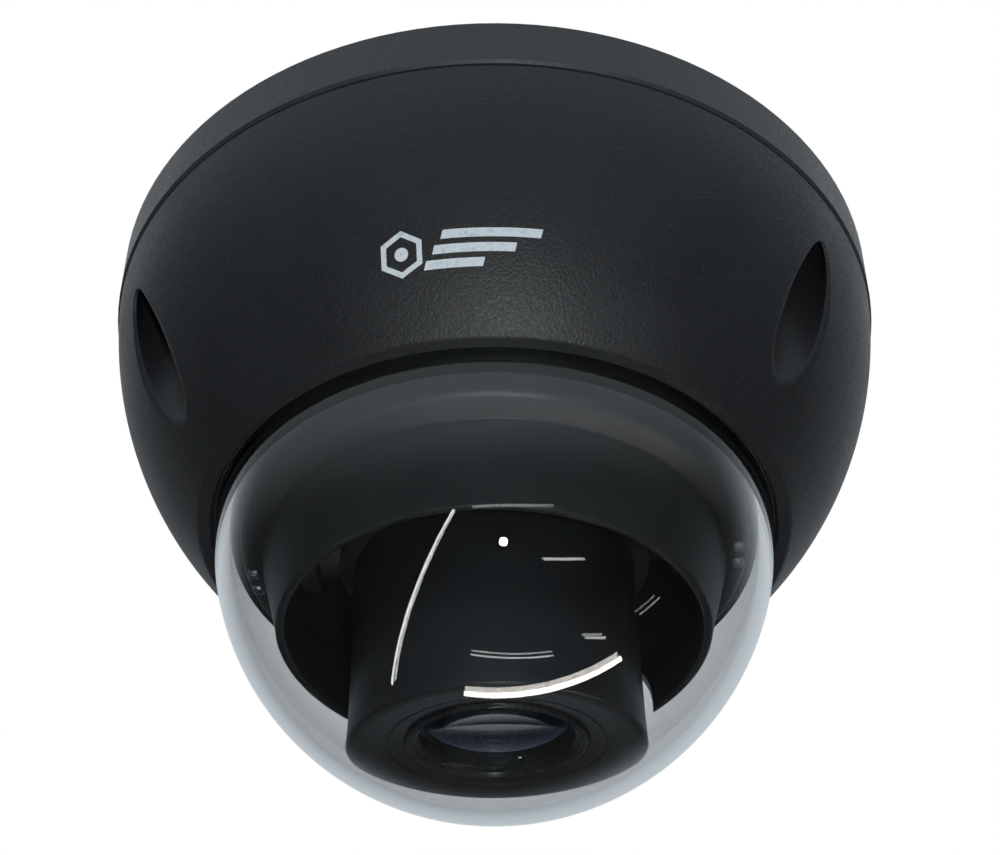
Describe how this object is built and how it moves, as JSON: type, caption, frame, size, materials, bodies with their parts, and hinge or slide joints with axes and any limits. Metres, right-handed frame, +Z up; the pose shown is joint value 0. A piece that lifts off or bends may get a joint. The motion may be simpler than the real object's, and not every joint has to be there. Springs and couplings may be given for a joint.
{
  "type": "dome security camera",
  "caption": "Ceiling dome camera: flat base ring, rounded black casing with deep screw pockets, clear dome over a lens head that pans, tilts and turns on a gimbal.",
  "frame": {"origin": "centre of the flat face that lies on the ceiling", "axes": "+Z up into the ceiling, along the axis of the dome; the front of the casing faces -Y"},
  "size_m": [0.122, 0.122, 0.0889],
  "materials": {
    "casing_black": "fine-grained black powder coat",
    "base_black": "fine-grained black powder coat",
    "rubber": "matt black",
    "plastic_black": "fine matt black",
    "head_black": "satin black",
    "steel": "nickel plated",
    "clear_dome": "clear polished polycarbonate",
    "lens_glass": "coated optical glass",
    "clear_glass": "optical glass",
    "board": "green solder mask",
    "chip": "moulded epoxy",
    "connector": "natural nylon",
    "ferrite": "sintered ferrite",
    "button_grey": "moulded plastic",
    "brass": "machined"
  },
  "bodies": {
    "base": {"base_housing": "base_black", "base_seal": "rubber", "cable_grommet": "rubber", "channel_plug": "plastic_black", "main_board": "board", "board_screws": "steel", "image_processor": "chip", "memory_chip": "chip", "network_transformer": "chip", "power_inductor": "ferrite", "capacitors": "steel", "network_header": "connector", "ribbon_header": "connector", "card_slot": "steel", "reset_switch": "chip", "gimbal_base": "plastic_black", "gimbal_screws": "steel", "pan_retainer": "steel", "retainer_screws": "steel"},
    "casing": {"cover": "casing_black", "cover_screws": "steel", "screw_seals": "rubber", "dome_bubble": "clear_dome", "bubble_seal": "rubber", "clamp_ring": "steel", "clamp_screws": "steel"},
    "reset_key": {"reset_button": "button_grey"},
    "pan_table": {"turntable": "plastic_black", "pan_lock_screw": "steel", "inner_liner": "plastic_black", "liner_screws": "steel"},
    "tilt_frame": {"tilt_cradle": "plastic_black", "tilt_screws": "steel"},
    "lens_head": {"head_front_shell": "head_black", "head_rear_shell": "head_black", "lens_bezel": "head_black", "front_glass": "lens_glass", "lens_barrel": "plastic_black", "rear_glass": "clear_glass", "zoom_motor": "steel", "filter_holder": "plastic_black", "sensor_board": "board", "image_sensor": "chip", "sensor_socket": "connector"},
    "zoom_gear": {"zoom_ring": "plastic_black"},
    "zoom_drive": {"zoom_pinion": "brass"},
    "zoom_group": {"zoom_carrier": "plastic_black", "zoom_glass": "clear_glass"},
    "day_night_filter": {"filter_slider": "plastic_black", "filter_panes": "clear_glass"}
  },
  "joints": [
    {"name": "cover_lift", "type": "slide", "parent": "base", "child": "casing", "axis": [0, 0, -1], "range_m": [0, 0.09]},
    {"name": "reset_press", "type": "slide", "parent": "base", "child": "reset_key", "axis": [0, 0, 1], "range_m": [0, 0.0005], "stiffness_N_per_m": 600},
    {"name": "pan", "type": "hinge", "parent": "base", "child": "pan_table", "pos_m": [0, 0, -0.04705], "axis": [0, 0, 1], "range_deg": [-177.5, 177.5]},
    {"name": "tilt", "type": "hinge", "parent": "pan_table", "child": "tilt_frame", "pos_m": [0, 0, -0.04705], "axis": [1, 0, 0], "range_deg": [-8, 52]},
    {"name": "rotation", "type": "hinge", "parent": "tilt_frame", "child": "lens_head", "pos_m": [0, 0, -0.04705], "axis": [0, 0.1392, -0.9903], "range_deg": [-177.5, 177.5]},
    {"name": "zoom_slide", "type": "slide", "parent": "lens_head", "child": "zoom_group", "axis": [0, 0.1392, -0.9903], "range_m": [0, 0.004]},
    {"name": "zoom_turn", "type": "hinge", "parent": "lens_head", "child": "zoom_gear", "pos_m": [0, 0, -0.04705], "axis": [0, 0.1392, -0.9903], "range_deg": [0, 90.2]},
    {"name": "pinion_turn", "type": "hinge", "parent": "lens_head", "child": "zoom_drive", "pos_m": [0.016, 0, -0.04705], "axis": [0, 0.1392, -0.9903], "range_deg": [-631, 0]},
    {"name": "filter_shift", "type": "slide", "parent": "lens_head", "child": "day_night_filter", "axis": [1, 0, 0], "range_m": [0, 0.0082]}
  ],
  "couplings": [
    {"joint": "zoom_turn", "follows": "zoom_slide", "rad_per_m": 392.7},
    {"joint": "pinion_turn", "follows": "zoom_slide", "rad_per_m": -2748.9}
  ]
}
